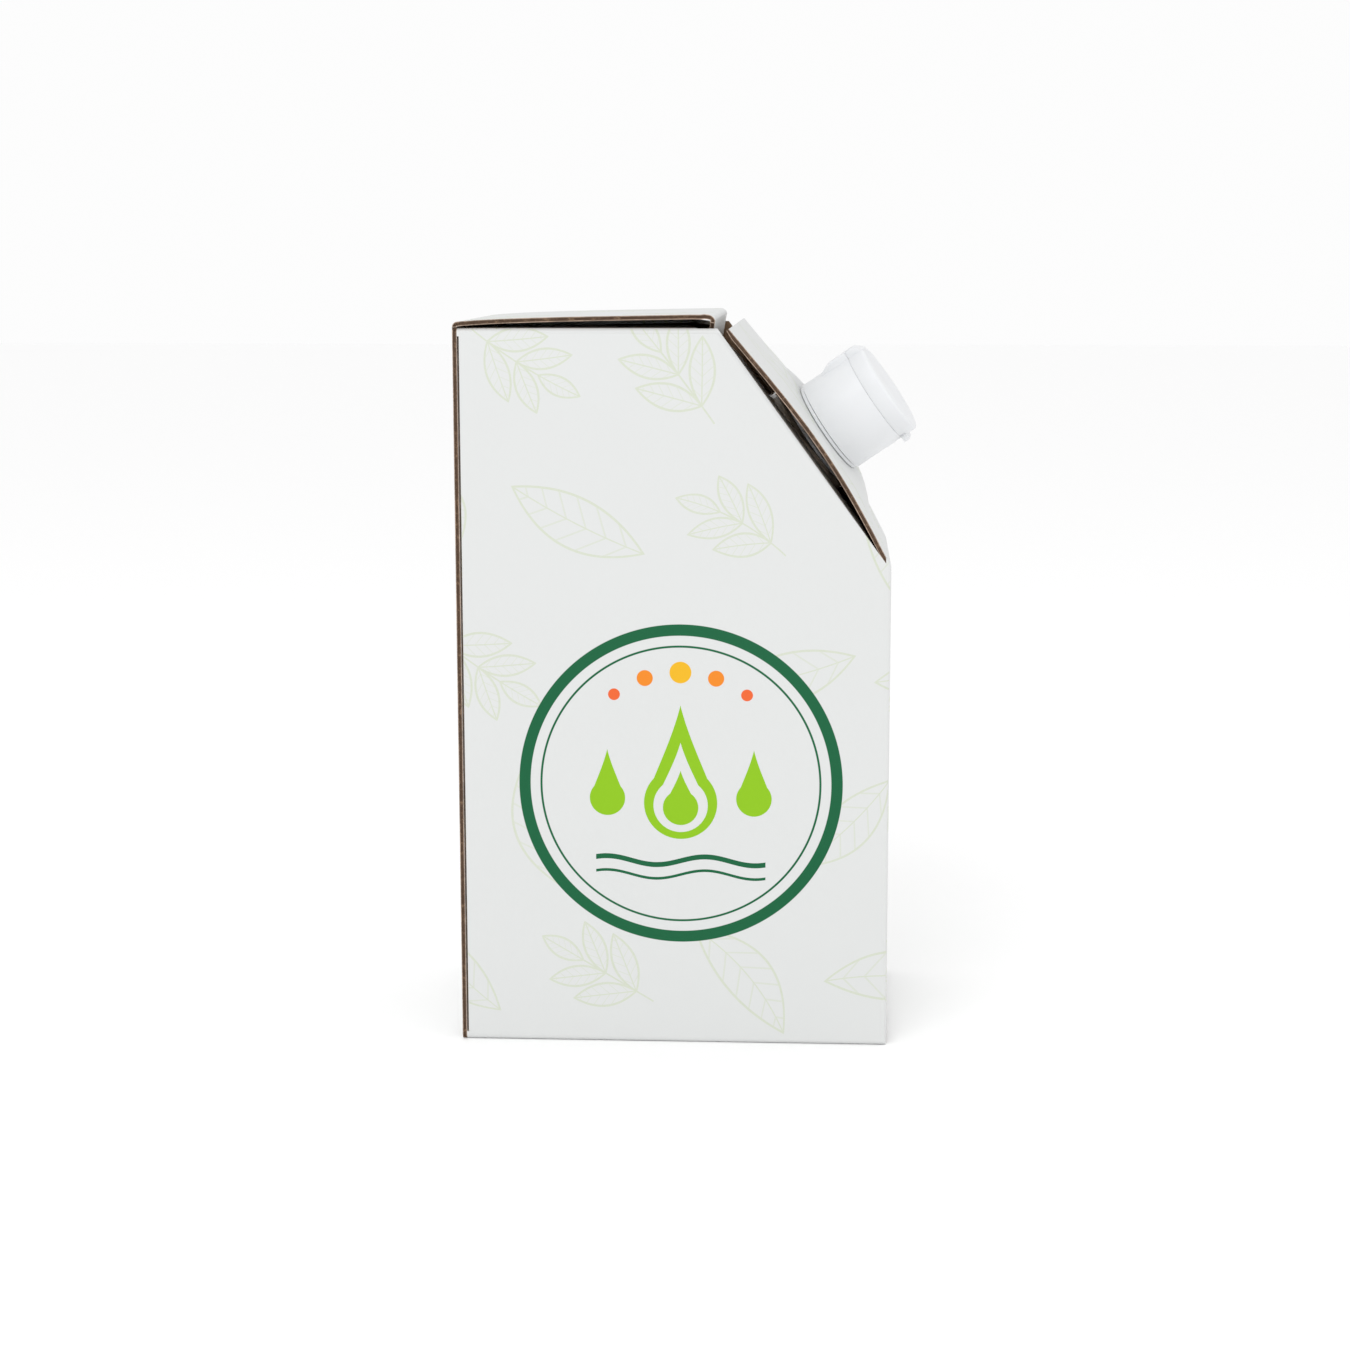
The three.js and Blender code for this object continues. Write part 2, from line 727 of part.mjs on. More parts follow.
// Finishes
const clay_white = new THREE.MeshStandardMaterial({ color: 0xe9ebe6, roughness: 0.62, metalness: 0 });
const cap_white = new THREE.MeshStandardMaterial({ color: 0xf1f2f4, roughness: 0.35, metalness: 0 });
const film_clear = new THREE.MeshStandardMaterial({ color: 0xc9ccd0, roughness: 0.25, metalness: 0 });
const seal_grey = new THREE.MeshStandardMaterial({ color: 0xd9d9d4, roughness: 0.7, metalness: 0 });

function piece(name, geometry, material) {
  const mesh = new THREE.Mesh(geometry, material);
  mesh.name = name;
  return mesh;
}

const beverage_box = new THREE.Group();
beverage_box.add(piece("carton_body", cartonBody(), clay_white));
beverage_box.add(piece("top_lid", topLid(), clay_white));
beverage_box.add(piece("inner_bag", innerBag(), film_clear));

const spout_group = new THREE.Group();
spout_matrix.decompose(spout_group.position, spout_group.quaternion, spout_group.scale);
spout_group.add(piece("spout", spoutSolid(), cap_white));
spout_group.add(piece("cap_seal", capSeal(), seal_grey));
spout_group.add(piece("screw_cap", screwCap(), cap_white));
spout_group.add(piece("flip_lid", flipLid(), cap_white));
beverage_box.add(spout_group);

export default beverage_box;
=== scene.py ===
"""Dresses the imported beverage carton: corrugated board with its print, the filled film pouch, the
moulded spout and cap, and a plain studio stage. Metres, +Z up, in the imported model's own frame."""

import math

import bpy
import bmesh
from bpy.props import FloatProperty, FloatVectorProperty, PointerProperty
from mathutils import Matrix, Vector, noise


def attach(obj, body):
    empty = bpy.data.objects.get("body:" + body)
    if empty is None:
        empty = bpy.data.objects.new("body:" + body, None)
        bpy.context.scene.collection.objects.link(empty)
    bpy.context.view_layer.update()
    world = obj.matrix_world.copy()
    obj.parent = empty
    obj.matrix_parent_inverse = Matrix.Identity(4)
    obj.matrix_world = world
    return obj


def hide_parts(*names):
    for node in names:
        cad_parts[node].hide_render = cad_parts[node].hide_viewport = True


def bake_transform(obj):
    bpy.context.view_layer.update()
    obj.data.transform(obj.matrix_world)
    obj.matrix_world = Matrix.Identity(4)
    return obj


bl_info = {
    "name": "Beverage carton looks",
    "version": (1, 0, 0),
    "blender": (4, 5, 0),
    "location": "3D View > Sidebar > Carton",
    "description": "Board, print, film and moulded plastic for a disposable beverage carton",
    "category": "Object",
}

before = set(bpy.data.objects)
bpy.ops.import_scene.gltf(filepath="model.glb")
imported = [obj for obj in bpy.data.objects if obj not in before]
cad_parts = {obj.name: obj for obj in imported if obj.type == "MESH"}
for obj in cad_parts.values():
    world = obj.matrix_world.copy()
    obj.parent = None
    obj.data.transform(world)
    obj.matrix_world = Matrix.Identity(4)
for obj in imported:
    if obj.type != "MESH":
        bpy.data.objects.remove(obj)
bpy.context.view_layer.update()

MM = 0.001

# Main sizes of the carton, as the solids have them
LENGTH = 182 * MM
WIDTH = 115 * MM
HEIGHT = 304.3 * MM
FRONT_HEIGHT = 204.4 * MM
TOP_LENGTH = 109.5 * MM
BOARD = 1.9 * MM
HALF_LENGTH = LENGTH / 2
HALF_WIDTH = WIDTH / 2
SLOPE_CORNER = Vector((TOP_LENGTH - HALF_LENGTH, 0, HEIGHT))
SLOPE = Vector((HALF_LENGTH, 0, FRONT_HEIGHT)) - SLOPE_CORNER
DOWN_SLOPE = SLOPE.normalized()
SLOPE_NORMAL = Vector((-DOWN_SLOPE.z, 0, DOWN_SLOPE.x))

# The spout's frame: its centre on the slanted panel, its axis outwards, and up the slope
SPOUT_CENTRE = Vector((63.7218, 0, 259.5237)) * MM
SPOUT_AXIS = Vector((0.8206361, -0.0958132, 0.5633616))
SPOUT_UP = Vector((-0.5661618, -0.0024974, 0.8242903))
SPOUT_ACROSS = SPOUT_AXIS.cross(SPOUT_UP)
CAP_RADIUS = 21.3 * MM
HINGE_STAND_OFF = 1.8 * MM
RIM_HEIGHT = 25.6 * MM

# The lid's front corners, near and far: place, how far a dent reaches and how deep it goes
LID_CORNERS = (
    (Vector((18, -57.5, 308.5)) * MM, 11 * MM, 0.9 * MM),
    (Vector((18, 57.5, 308.5)) * MM, 8 * MM, 0.6 * MM),
)
# Where the lid is cut for its dents: millimetres behind the corner, and in from the lid's side
DENT_CUTS_BEHIND = (10, 8, 6, 4.5, 3, 1.5)
DENT_CUTS_IN = (1, 2, 3.5, 5, 6.5, 8, 10)

# Slots of the board's four papers, and the smallest face that counts as a cut
OUTSIDE, INSIDE, LINER, CORE = range(4)
SMALLEST_CUT = 4e-7
HAIR = 0.05 * MM  # how close a point lies to a plane to count as on it

# Print, in the flat of the side panel: the ring's middle lies here
EMBLEM_PLACE = Vector((3.2 * MM, 0, 113 * MM))
OFF_EMBLEM = (9.0, 9.0)  # where the emblem's coordinates put every other panel
RING_HALF_WIDTH = 2.4 * MM
FINE_RING_INSET = 7 * MM
FINE_RING_HALF_WIDTH = 0.45 * MM
INK_EDGE = 0.12 * MM  # softness of a printed edge
SPRIG_LINE = 0.5 * MM
WAVE_HALF_LENGTH = 36 * MM
# The dots over the drops: to the side, up, radius (all in millimetres) and ink
DOTS = (
    (0, 48, 4.6, (0.78, 0.43, 0.01)),
    (15, 45.5, 3.4, (0.79, 0.23, 0.013)),
    (28, 38.5, 2.5, (0.76, 0.12, 0.026)),
)
# Leaves that a sprig bears in pairs: place on the stem, half length, half width, in millimetres
SPRIG_LEAVES = ((-13, 14, 5.2), (3, 12.5, 4.6))
LEAF_LEAN = math.radians(38)


class BoardSettings(bpy.types.PropertyGroup):
    liner: FloatProperty(
        name="Liner",
        description="Thickness of the two papers that face the flutes",
        default=0.34 * MM, unit="LENGTH", precision=5,
    )
    core_depth: FloatProperty(
        name="Core depth",
        description="How far the flutes stay back from a cut edge",
        default=0.7 * MM, unit="LENGTH", precision=5,
    )
    white: FloatVectorProperty(
        name="White liner", description="Colour of the coated outside",
        default=(0.665, 0.675, 0.67), subtype="COLOR", min=0, max=1,
    )
    kraft: FloatVectorProperty(
        name="Kraft liner", description="Colour of the brown inside",
        default=(0.36, 0.235, 0.145), subtype="COLOR", min=0, max=1,
    )
    cut: FloatVectorProperty(
        name="Cut edge", description="Colour of the papers where they are cut",
        default=(0.47, 0.35, 0.27), subtype="COLOR", min=0, max=1,
    )
    # Dark colour of the flutes at a cut: partly the kraft medium, mostly painted shade of the open flute
    # channels
    core: FloatVectorProperty(
        name="Flute core", description="Colour between the papers of a cut edge",
        default=(0.12, 0.075, 0.05), subtype="COLOR", min=0, max=1,
    )


class PrintSettings(bpy.types.PropertyGroup):
    sprig_cell: FloatProperty(
        name="Sprig spacing", description="Distance from one pale sprig to the next",
        default=64 * MM, unit="LENGTH", precision=4,
    )
    sprig_ink: FloatVectorProperty(
        name="Sprig ink", description="Colour of the pale line drawing",
        default=(0.555, 0.605, 0.45), subtype="COLOR", min=0, max=1,
    )
    ring_radius: FloatProperty(
        name="Ring radius", description="Middle radius of the dark ring on the side panels",
        default=66 * MM, unit="LENGTH", precision=4,
    )
    dark_ink: FloatVectorProperty(
        name="Dark ink", description="Colour of the ring",
        default=(0.0, 0.105, 0.036), subtype="COLOR", min=0, max=1,
    )
    bright_ink: FloatVectorProperty(
        name="Bright ink", description="Colour of the drops inside the ring",
        default=(0.245, 0.5, 0.004), subtype="COLOR", min=0, max=1,
    )


class PlasticSettings(bpy.types.PropertyGroup):
    white: FloatVectorProperty(
        name="White plastic", description="Colour of the spout and its cap",
        default=(0.76, 0.77, 0.785), subtype="COLOR", min=0, max=1,
    )
    edge: FloatProperty(
        name="Edge radius", description="Soft edge of the moulded parts",
        default=0.3 * MM, unit="LENGTH", precision=5,
    )
    wrinkle: FloatProperty(
        name="Film wrinkles", description="How deep the pouch's film creases",
        default=3.2 * MM, unit="LENGTH", precision=4,
    )


class StageSettings(bpy.types.PropertyGroup):
    floor: FloatVectorProperty(
        name="Floor", description="Colour of the floor",
        default=(0.985, 0.985, 0.985), subtype="COLOR", min=0, max=1,
    )
    world_light: FloatProperty(
        name="Room light", description="Strength of the light from all sides",
        default=0.98, min=0,
    )
    key_light: FloatProperty(
        name="Lamps", description="Power that each lamp takes its share of",
        default=7, min=0, unit="POWER",
    )


def deselect_all():
    if bpy.context.object and bpy.context.object.mode != "OBJECT":
        bpy.ops.object.mode_set(mode="OBJECT")
    bpy.ops.object.select_all(action="DESELECT")


def make_active(piece):
    deselect_all()
    piece.select_set(True)
    bpy.context.view_layer.objects.active = piece


def select_faces(piece, wanted):
    """Leaves the piece in edit mode with only the faces that pass the test selected."""
    make_active(piece)
    bpy.ops.object.mode_set(mode="EDIT")
    bpy.ops.mesh.select_mode(type="FACE")
    mesh = bmesh.from_edit_mesh(piece.data)
    found = 0
    for face in mesh.faces:
        chosen = bool(wanted(face))
        face.select_set(chosen)
        found += chosen
    mesh.select_flush_mode()
    bmesh.update_edit_mesh(piece.data)
    return found


def leave_edit_mode():
    bpy.ops.object.mode_set(mode="OBJECT")


def copy_of(node, name):
    """A copy of a solid's mesh as a new piece, with its loose triangles joined."""
    piece = bpy.data.objects.new(name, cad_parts[node].data.copy())
    piece.data.name = name
    piece.data.materials.clear()
    bpy.context.scene.collection.objects.link(piece)
    make_active(piece)
    bpy.ops.object.mode_set(mode="EDIT")
    bpy.ops.mesh.select_all(action="SELECT")
    bpy.ops.mesh.remove_doubles(threshold=0.004 * MM)
    leave_edit_mode()
    return piece


def apply_modifiers(piece):
    make_active(piece)
    for modifier in list(piece.modifiers):
        bpy.ops.object.modifier_apply(modifier=modifier.name)


def smooth(piece, degrees):
    make_active(piece)
    bpy.ops.object.shade_smooth_by_angle(angle=math.radians(degrees))


def hand_over(piece, body, slot, *nodes):
    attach(piece, body)
    if nodes:
        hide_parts(*nodes)


# Shaders
class Wire:
    """A node's output that sums and comparisons can be written with."""

    def __init__(self, shader, socket):
        self.shader = shader
        self.socket = socket

    def _math(self, operation, *others):
        return self.shader.node("ShaderNodeMath", {"operation": operation}, *others)

    def __add__(self, other):
        return self._math("ADD", self, other)

    __radd__ = __add__

    def __sub__(self, other):
        return self._math("SUBTRACT", self, other)

    def __rsub__(self, other):
        return self._math("SUBTRACT", other, self)

    def __mul__(self, other):
        return self._math("MULTIPLY", self, other)

    __rmul__ = __mul__

    def __truediv__(self, other):
        return self._math("DIVIDE", self, other)

    def __abs__(self):
        return self._math("ABSOLUTE", self)

    def __lt__(self, other):
        return self._math("LESS_THAN", self, other)

    def __gt__(self, other):
        return self._math("GREATER_THAN", self, other)

    def floor(self):
        return self._math("FLOOR", self)

    def fract(self):
        return self._math("FRACT", self)

    def sin(self):
        return self._math("SINE", self)

    def cos(self):
        return self._math("COSINE", self)

    def root(self):
        return self._math("SQRT", self)

    def most(self, other):
        return self._math("MAXIMUM", self, other)

    def ramp(self, low, high, out_low=0.0, out_high=1.0):
        settings = {"interpolation_type": "SMOOTHSTEP"}
        return self.shader.node("ShaderNodeMapRange", settings, self, low, high, out_low, out_high)


class Shader:
    """One material and the nodes that make it."""

    def __init__(self, name):
        self.material = bpy.data.materials.new(name)
        self.material.use_nodes = True
        self.tree = self.material.node_tree
        self.surface = self.tree.nodes["Principled BSDF"]

    def fill(self, socket, value):
        """Links a wire to a socket, or sets its value; a colour gets its alpha here."""
        if isinstance(value, Wire):
            self.tree.links.new(value.socket, socket)
        elif hasattr(value, "__len__"):
            wide = len(socket.default_value)
            socket.default_value = (*value, 1.0)[:wide]
        else:
            socket.default_value = value

    def node(self, kind, settings=None, *inputs, output=0, **named):
        """Makes a node: its own settings first, then its sockets in order or by name."""
        made = self.tree.nodes.new(kind)
        for key, value in (settings or {}).items():
            setattr(made, key, value)
        for socket, value in zip(made.inputs, inputs):
            self.fill(socket, value)
        for key, value in named.items():
            self.fill(made.inputs[key.replace("_", " ")], value)
        return Wire(self, made.outputs[output])

    def mix(self, factor, first, second):
        made = self.tree.nodes.new("ShaderNodeMix")
        made.data_type = "RGBA"
        self.fill(made.inputs[0], factor)
        self.fill(made.inputs[6], first)
        self.fill(made.inputs[7], second)
        return Wire(self, made.outputs[2])

    def object_coordinates(self):
        return self.node("ShaderNodeTexCoord", output=3)

    def uv(self, layer):
        return self.node("ShaderNodeUVMap", {"uv_map": layer})

    def split(self, vector):
        made = self.tree.nodes.new("ShaderNodeSeparateXYZ")
        self.fill(made.inputs[0], vector)
        return [Wire(self, output) for output in made.outputs]

    def vector(self, x, y, z=0.0):
        return self.node("ShaderNodeCombineXYZ", None, x, y, z)

    def noise(self, where, scale, detail=3.0, roughness=0.55):
        return self.node(
            "ShaderNodeTexNoise", None,
            Vector=where, Scale=scale, Detail=detail, Roughness=roughness,
        )

    def stretched(self, where, scale):
        return self.node("ShaderNodeVectorMath", {"operation": "MULTIPLY"}, where, scale)

    def bump(self, height, distance, strength):
        return self.node("ShaderNodeBump", None, Height=height, Distance=distance, Strength=strength)

    def set(self, **values):
        for key, value in values.items():
            self.fill(self.surface.inputs[key.replace("_", " ")], value)
        return self.material


def leaf_lines(p, q, half_length, half_width, line):
    """Ink of one leaf that lies along p: its outline, its midrib and its side veins."""
    along = p / half_length
    inner = (1 - along * along) * half_width - abs(q)
    outline = (abs(inner) - line).ramp(0.35 * line, -0.35 * line) * (abs(along) < 1.04)
    within = inner > 0
    midrib = abs(q).ramp(0.77 * line, 0.28 * line)
    vein_place = ((p - abs(q) * 0.9) / (half_length * 0.3)).fract()
    veins = (abs(vein_place - 0.5) < 0.055) * 0.6
    return outline.most(within * midrib.most(veins))


def sprig_ink(shader, u, v, cell, line):
    """Pale line-drawn sprigs, one to a cell, each turned its own way."""
    row = (v / cell).floor()
    shifted = u / cell + row * 0.37
    column = shifted.floor()
    seed = shader.vector(column, row)
    dice = shader.node("ShaderNodeTexWhiteNoise", {"noise_dimensions": "2D"}, Vector=seed, output=1)
    turn_dice, size_dice, kind_dice = shader.split(dice)
    x = (shifted.fract() - 0.5 + (size_dice - 0.5) * 0.05) * cell
    y = ((v / cell).fract() - 0.5 + (kind_dice - 0.5) * 0.05) * cell
    angle = turn_dice * (2 * math.pi)
    size = size_dice * 0.16 + 0.88
    cosine, sine = angle.cos(), angle.sin()
    p = (x * cosine + y * sine) / size
    q = (y * cosine - x * sine) / size
    q = q + p * p * (kind_dice * 10 - 5)
    single = leaf_lines(p, q, 30 * MM, 10.5 * MM, line)
    p = p + 6.5 * MM
    side = abs(q)
    ink = (side < line * 0.7) * (abs(p + 3 * MM) < 19 * MM)
    for place, half_length, half_width in SPRIG_LEAVES:
        start = p - place * MM
        reach = half_length * MM
        along = start * math.cos(LEAF_LEAN) + side * math.sin(LEAF_LEAN) - reach
        across = side * math.cos(LEAF_LEAN) - start * math.sin(LEAF_LEAN)
        ink = ink.most(leaf_lines(along, across, reach, half_width * MM, line))
    tip = leaf_lines(p - 25 * MM, q, 10.5 * MM, 4.3 * MM, line)
    lonely = kind_dice > 0.62
    return ink.most(tip) * (1 - lonely) + single * lonely


def drop_ink(x, y, radius, height):
    """A filled drop: a round foot at the origin that draws in to a point above it."""
    round_foot = (x * x + y * y).root() < radius
    up = y / height
    taper = abs(x) < (1 - up) * (1 - up * up * 0.35) * radius
    return round_foot.most(taper * (y > 0) * (up < 1))


def round_ink(x, y, radius, half_width):
    """A printed circle's line."""
    return (abs((x * x + y * y).root() - radius) - half_width).ramp(INK_EDGE, -INK_EDGE)


def drops_ink(x, y):
    """A tall drop with a white one and a small one inside it, and a lower drop on each side."""
    tall = drop_ink(x, y + 8 * MM, 15.5 * MM, 42 * MM)
    hollow = drop_ink(x, y + 9 * MM, 11.5 * MM, 27 * MM)
    inner = drop_ink(x, y + 10 * MM, 7.5 * MM, 16 * MM)
    outer = drop_ink(abs(x) - 31 * MM, y + 6 * MM, 7.5 * MM, 21 * MM)
    return (tall * (1 - hollow)).most(inner).most(outer)


def waves_ink(x, y):
    """A thick and a thin waved line under the drops."""
    height = (x * 150).sin() * (1.8 * MM) - 33 * MM
    lines = (abs(y - height) < 1.1 * MM).most(abs(y - height + 6 * MM) < 0.6 * MM)
    return lines * (abs(x) < WAVE_HALF_LENGTH)


def printed_board(settings, inks):
    """White-lined board with pale sprigs, and a ring with drops and dots on the side panels."""
    shader = Shader("printed_board")
    where = shader.object_coordinates()
    u, v, _ = shader.split(shader.uv("panel"))
    x, y, _ = shader.split(shader.uv("emblem"))
    sprigs = sprig_ink(shader, u, v, inks.sprig_cell, SPRIG_LINE)
    reach = (x * x + y * y).root()
    inside_ring = (reach - inks.ring_radius - RING_HALF_WIDTH).ramp(INK_EDGE, -INK_EDGE)
    ring = round_ink(x, y, inks.ring_radius, RING_HALF_WIDTH)
    fine_ring = round_ink(x, y, inks.ring_radius - FINE_RING_INSET, FINE_RING_HALF_WIDTH)
    drops = drops_ink(x, y)
    dark = ring.most(fine_ring).most(waves_ink(x, y))

    cloud = shader.noise(where, 9.0, 2.0)
    fibre = shader.noise(shader.stretched(where, (900, 900, 340)), 1.0, 4.0)
    tone = cloud * 0.05 + fibre * 0.035 + 0.955
    white = shader.mix(1.0 - tone, settings.white, tuple(0.4 * part for part in settings.white))
    blotch = shader.noise(where, 2600.0, 1.0)
    pale = shader.mix(blotch.ramp(0.25, 0.75, 0.62, 0.9), settings.white, inks.sprig_ink)
    colour = shader.mix(sprigs * (1 - inside_ring) * 0.85, white, pale)
    colour = shader.mix(dark, colour, inks.dark_ink)
    colour = shader.mix(drops, colour, inks.bright_ink)
    inked = dark.most(drops)
    for place, height, radius, ink in DOTS:
        dot_x = abs(x) - place * MM
        dot_y = y - height * MM
        apart = (dot_x * dot_x + dot_y * dot_y).root()
        dot = (apart - radius * MM).ramp(INK_EDGE, -INK_EDGE)
        colour = shader.mix(dot, colour, ink)
        inked = inked.most(dot)
    washboard = shader.node(
        "ShaderNodeTexWave", {"bands_direction": "X"},
        Vector=shader.uv("panel"), Scale=24.0, Distortion=0.6, Detail=1.0, Detail_Scale=3.0,
    )
    height = fibre * 0.35 + washboard * 0.5 + cloud * 0.6
    return shader.set(
        Base_Color=colour,
        Roughness=fibre * 0.1 + 0.47 - inked * 0.14,
        Normal=shader.bump(height, 0.05 * MM, 0.55),
        Specular_IOR_Level=0.26,
    )


def kraft_board(settings):
    """Brown paper with long fibres and darker flecks."""
    shader = Shader("kraft_board")
    where = shader.object_coordinates()
    fibre = shader.noise(shader.stretched(where, (1500, 1500, 260)), 1.0, 5.0, 0.65)
    cloud = shader.noise(where, 28.0, 3.0)
    fleck = shader.noise(where, 1400.0, 2.0).ramp(0.66, 0.74)
    tone = (fibre * 0.5 + cloud * 0.5).ramp(0.3, 0.7)
    dark = tuple(0.62 * part for part in settings.kraft)
    colour = shader.mix(tone, dark, settings.kraft)
    colour = shader.mix(fleck * 0.5, colour, tuple(0.35 * part for part in settings.kraft))
    return shader.set(
        Base_Color=colour,
        Roughness=fibre * 0.12 + 0.76,
        Normal=shader.bump(fibre * 0.6 + cloud * 0.4, 0.09 * MM, 0.6),
        Specular_IOR_Level=0.25,
    )


def cut_paper(settings):
    """The papers of the board where the die has cut them: pale torn fibres with brown between."""
    shader = Shader("cut_paper")
    where = shader.object_coordinates()
    fibre = shader.noise(where, 2200.0, 4.0, 0.7)
    worn = shader.noise(where, 130.0, 3.0)
    tone = (fibre * 0.6 + worn * 0.4).ramp(0.36, 0.64)
    colour = shader.mix(tone, tuple(0.42 * part for part in settings.cut), settings.cut)
    return shader.set(
        Base_Color=colour,
        Roughness=fibre * 0.1 + 0.82,
        Normal=shader.bump(fibre, 0.12 * MM, 0.7),
        Specular_IOR_Level=0.2,
    )


def flute_core_painted_shade(settings):
    """What shows between the papers of a cut edge: painted shade of the open flute channels, dark, with
    the odd paler kraft flute.
    """
    shader = Shader("flute_core_painted_shade")
    where = shader.object_coordinates()
    flute = shader.noise(shader.stretched(where, (420, 420, 420)), 1.0, 3.0, 0.6)
    fibre = shader.noise(where, 2400.0, 3.0)
    tone = (flute * 0.7 + fibre * 0.3).ramp(0.5, 0.68)
    # Mostly painted shade of the flute channels, with paler kraft where the noise lifts a flute
    colour = shader.mix(tone * 0.75, settings.core, settings.kraft)
    return shader.set(Base_Color=colour, Roughness=fibre * 0.1 + 0.85, Specular_IOR_Level=0.15)


def moulded_plastic(name, colour, roughness, grain):
    """Soft white moulded plastic, with a fine spark-eroded grain and faint flow marks."""
    shader = Shader(name)
    where = shader.object_coordinates()
    skin = shader.noise(where, 5200.0, 2.0)
    flow = shader.noise(where, 55.0, 2.0)
    base = shader.mix(flow * 0.18, colour, tuple(0.82 * part for part in colour))
    return shader.set(
        Base_Color=base,
        Roughness=skin * 0.1 + flow * 0.08 + roughness - 0.08,
        Normal=shader.bump(skin * 0.5 + flow * 0.5, grain, 0.5),
        Subsurface_Weight=0.12,
        Subsurface_Radius=(1.0, 0.95, 0.9),
        Subsurface_Scale=1.2 * MM,
    )


def pouch_film():
    """Clear layered film over a pale drink: glossy, with fine creases in its bump."""
    shader = Shader("pouch_film")
    where = shader.object_coordinates()
    crease = 1 - abs(shader.noise(where, 75.0, 4.0, 0.6) - 0.5) * 4
    cloud = shader.noise(where, 14.0, 2.0)
    colour = shader.mix(cloud.ramp(0.3, 0.7), (0.47, 0.39, 0.30), (0.62, 0.54, 0.44))
    return shader.set(
        Base_Color=colour,
        Roughness=crease * 0.12 + 0.1,
        Normal=shader.bump(crease, 0.5 * MM, 0.5),
        Coat_Weight=0.7,
        Coat_Roughness=0.06,
    )


# Board
def over_slope(point):
    return (point - SLOPE_CORNER).dot(SLOPE_NORMAL)


def strip_width(face):
    """How wide a face is across its longest edge."""
    longest = max(face.edges, key=lambda edge: edge.calc_length())
    run = (longest.verts[1].co - longest.verts[0].co).normalized()
    across = face.normal.cross(run)
    places = [vert.co.dot(across) for vert in face.verts]
    return max(places) - min(places)


def carton_side(face):
    """Which side of the board a face of the carton is: its printed outside, its inside, or a cut."""
    centre = face.calc_center_median()
    normal = face.normal
    over = over_slope(centre)
    if face.calc_area() < SMALLEST_CUT:
        return OUTSIDE
    if over > HAIR:
        facing = normal.dot(SLOPE_NORMAL)
        if abs(facing) < 0.6:
            return LINER
        return OUTSIDE if facing > 0 else INSIDE
    if normal.y < -0.3 and centre.x < -HALF_LENGTH + BOARD and centre.y < -HALF_WIDTH + 2 * BOARD:
        return LINER
    from_ends = min(HALF_LENGTH - abs(centre.x), centre.z, HEIGHT - centre.z)
    if min(from_ends, HALF_WIDTH - abs(centre.y), -over) < 0.8 * MM:
        return OUTSIDE
    return LINER if strip_width(face) < BOARD + 0.1 * MM else INSIDE


def lid_side(face):
    """The same for the lid, whose tuck flap hangs from its front edge."""
    centre = face.calc_center_median()
    normal = face.normal
    if abs(normal.y) > 0.9:
        return LINER
    hanging = centre.z < HEIGHT + 1.5 * MM and centre.x > 0
    if hanging:
        if strip_width(face) < BOARD + 0.1 * MM and abs(normal.x) < 0.6:
            return LINER
        return OUTSIDE if normal.x > 0.3 else INSIDE
    if normal.z > 0.1 or normal.x < -0.9 or normal.x > 0.3:
        return OUTSIDE
    return INSIDE


def flatten_triangles(piece):
    make_active(piece)
    bpy.ops.object.mode_set(mode="EDIT")
    bpy.ops.mesh.select_all(action="SELECT")
    bpy.ops.mesh.dissolve_limited(angle_limit=math.radians(0.4))
    leave_edit_mode()


def split_faces(piece, wanted, place, direction):
    """Cuts the chosen faces along a plane, so that each side can have its own paper."""
    if select_faces(piece, wanted):
        bpy.ops.mesh.bisect(plane_co=place, plane_no=direction)
    leave_edit_mode()


def spring_far_flap(piece):
    """Lets the far dust flap spring up a little from its fold, most at its front end."""
    rise, flap_width, flap_front = 2.4 * MM, 42 * MM, 11 * MM
    for vert in piece.data.vertices:
        x, y, z = vert.co
        from_fold = HALF_WIDTH - y
        on_flap = 2.6 * MM < from_fold < flap_width + 3 * MM and z > HEIGHT - 2.3 * MM
        if on_flap and -86 * MM < x < flap_front + 0.5 * MM:
            forward = (x + HALF_LENGTH) / (flap_front + HALF_LENGTH)
            vert.co.z += rise * (from_fold / flap_width) * forward


def round_slanted_folds(piece):
    """Rounds the folds where the sides turn in under the slanted panel."""
    select_faces(piece, lambda face: False)
    bpy.ops.mesh.select_mode(type="EDGE")
    mesh = bmesh.from_edit_mesh(piece.data)

    def on_fold(vert):
        return abs(over_slope(vert.co)) < HAIR and abs(vert.co.y) > HALF_WIDTH - HAIR

    for edge in mesh.edges:
        if all(on_fold(vert) for vert in edge.verts) and edge.calc_length() > 8 * MM:
            edge.select_set(True)
    bmesh.update_edit_mesh(piece.data)
    bpy.ops.mesh.bevel(offset=1.5 * MM, segments=4, affect="EDGES", clamp_overlap=False)
    bpy.ops.mesh.select_mode(type="FACE")
    leave_edit_mode()


def crush_cut_edges(piece):
    """Presses the board's inner paper a little towards the outer one along the sides' cut edges."""
    select_faces(piece, lambda face: False)
    mesh = bmesh.from_edit_mesh(piece.data)
    moves = {}
    for edge in mesh.edges:
        first, second = edge.verts
        thickness = (first.co - second.co).length
        on_side = all(abs(vert.co.y) > HALF_WIDTH - 0.01 * MM for vert in edge.verts)
        if not on_side or abs(thickness - BOARD) > 0.25 * MM:
            continue
        inner, outer = (first, second) if first.co.z < second.co.z else (second, first)
        if inner.co.z < FRONT_HEIGHT + 8 * MM or abs(inner.co.x) > HALF_LENGTH - 4 * MM:
            continue
        dent = noise.noise(inner.co * 85) * 0.5 + 0.5
        dent += 0.5 * math.exp(-((over_slope(inner.co) / (3 * MM)) ** 2) * 0.2)
        moves[inner] = (outer.co - inner.co) * min(0.34, 0.3 * dent)
    for vert, move in moves.items():
        vert.co += move
    bmesh.update_edit_mesh(piece.data)
    leave_edit_mode()


